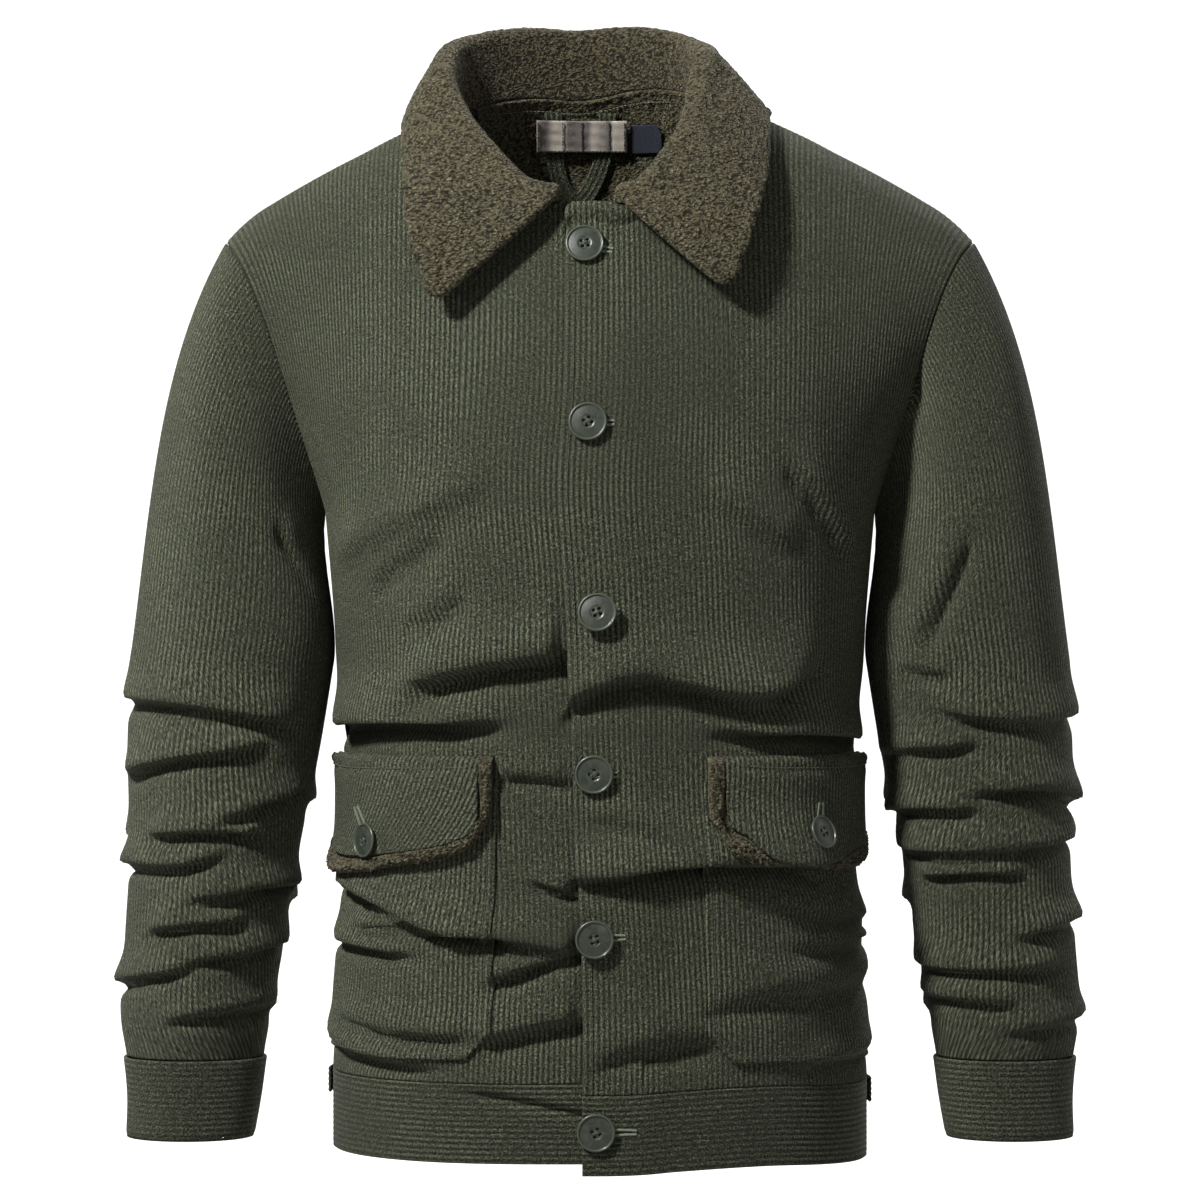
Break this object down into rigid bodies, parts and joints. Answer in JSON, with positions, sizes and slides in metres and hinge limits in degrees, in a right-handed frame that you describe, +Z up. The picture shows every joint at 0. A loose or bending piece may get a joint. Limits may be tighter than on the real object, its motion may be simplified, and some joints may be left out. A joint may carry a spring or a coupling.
{
  "type": "corduroy jacket",
  "caption": "Hip-length wide-wale corduroy jacket with a pile collar, button front, flapped patch pockets, hem band and cuffs, filled out with no wearer.",
  "frame": {"origin": "centre of the neck opening at the height of its sides, where the wearer's neck and shoulders hold the jacket", "axes": "+Z up along the body; -Y is the front; +X is the picture's right, the wearer's left"},
  "size_m": [0.623, 0.2763, 0.7399],
  "materials": {
    "corduroy": "olive wide-wale corduroy, matt",
    "corduroy_band": "olive wide-wale corduroy with the ribs across, matt",
    "pile": "short curled brown-olive pile",
    "button": "grey-green plastic, glossy",
    "label_satin": "cream and grey satin, bare",
    "tab_woven": "dark blue woven tape, bare"
  },
  "bodies": {
    "root": {"back": "corduroy", "button_front_1": "button", "button_front_2": "button", "button_front_3": "button", "button_front_4": "button", "button_front_5": "button", "button_front_6": "button", "button_pocket_left": "button", "button_pocket_right": "button", "button_tab_left": "button", "button_tab_right": "button", "collar": "pile", "cuff_left": "corduroy_band", "cuff_right": "corduroy_band", "flap_left": "corduroy", "flap_pile_left": "pile", "flap_pile_right": "pile", "flap_right": "corduroy", "front_left": "corduroy", "front_right": "corduroy", "hanger_loop": "corduroy", "hem_back": "corduroy_band", "hem_front_left": "corduroy_band", "hem_front_right": "corduroy_band", "hem_tab_left": "corduroy_band", "hem_tab_right": "corduroy_band", "neck_facing": "pile", "neck_label": "label_satin", "pocket_left": "corduroy", "pocket_right": "corduroy", "size_tab": "tab_woven", "sleeve_left": "corduroy", "sleeve_right": "corduroy"}
  },
  "joints": []
}
